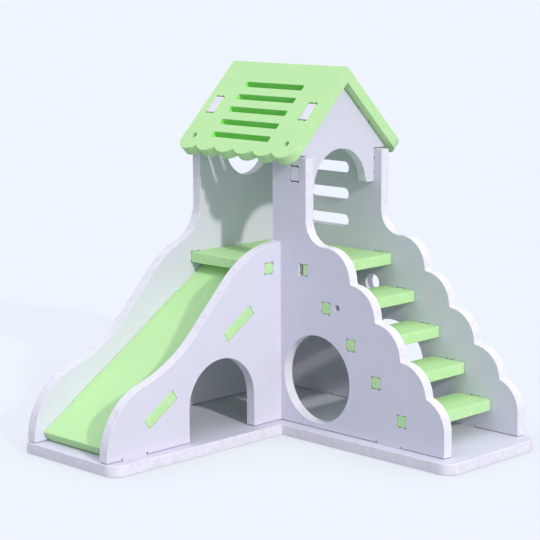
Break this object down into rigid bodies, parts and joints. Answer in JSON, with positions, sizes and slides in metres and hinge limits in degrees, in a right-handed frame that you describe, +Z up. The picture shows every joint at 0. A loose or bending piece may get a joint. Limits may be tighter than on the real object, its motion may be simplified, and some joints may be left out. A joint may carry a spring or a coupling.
{
  "type": "hamster house",
  "caption": "Slot-together wooden hamster house: an L-shaped base with a slide, a flight of stairs and a tower under a scalloped gable roof that lifts off.",
  "frame": {"origin": "underside of the base plate, below the inner corner of the L where the inner slide wall's stair-side face meets the outer face of the front stair wall", "axes": "+X towards the low end of the stairs, -Y towards the low end of the slide, +Z up"},
  "size_m": [0.1641, 0.1726, 0.1671],
  "materials": {
    "white_board": "painted pale lavender white, matt",
    "green_board": "painted light green, matt"
  },
  "bodies": {
    "house": {"base_plate": "white_board", "stair_front_wall": "white_board", "stair_back_wall": "white_board", "slide_inner_wall": "white_board", "slide_outer_wall": "white_board", "gable_arch_panel": "white_board", "platform_board": "green_board", "slide_board": "green_board", "stair_tread_1": "green_board", "stair_tread_2": "green_board", "stair_tread_3": "green_board", "stair_tread_4": "green_board"},
    "roof_front": {"roof_front_panel": "green_board"},
    "roof_back": {"roof_back_panel": "green_board"}
  },
  "joints": [
    {"name": "roof_front_lift", "type": "slide", "parent": "house", "child": "roof_front", "axis": [0, -0.7071, 0.7071], "range_m": [0, 0.03]},
    {"name": "roof_back_lift", "type": "slide", "parent": "house", "child": "roof_back", "axis": [0, 0.7071, 0.7071], "range_m": [0, 0.03]}
  ]
}
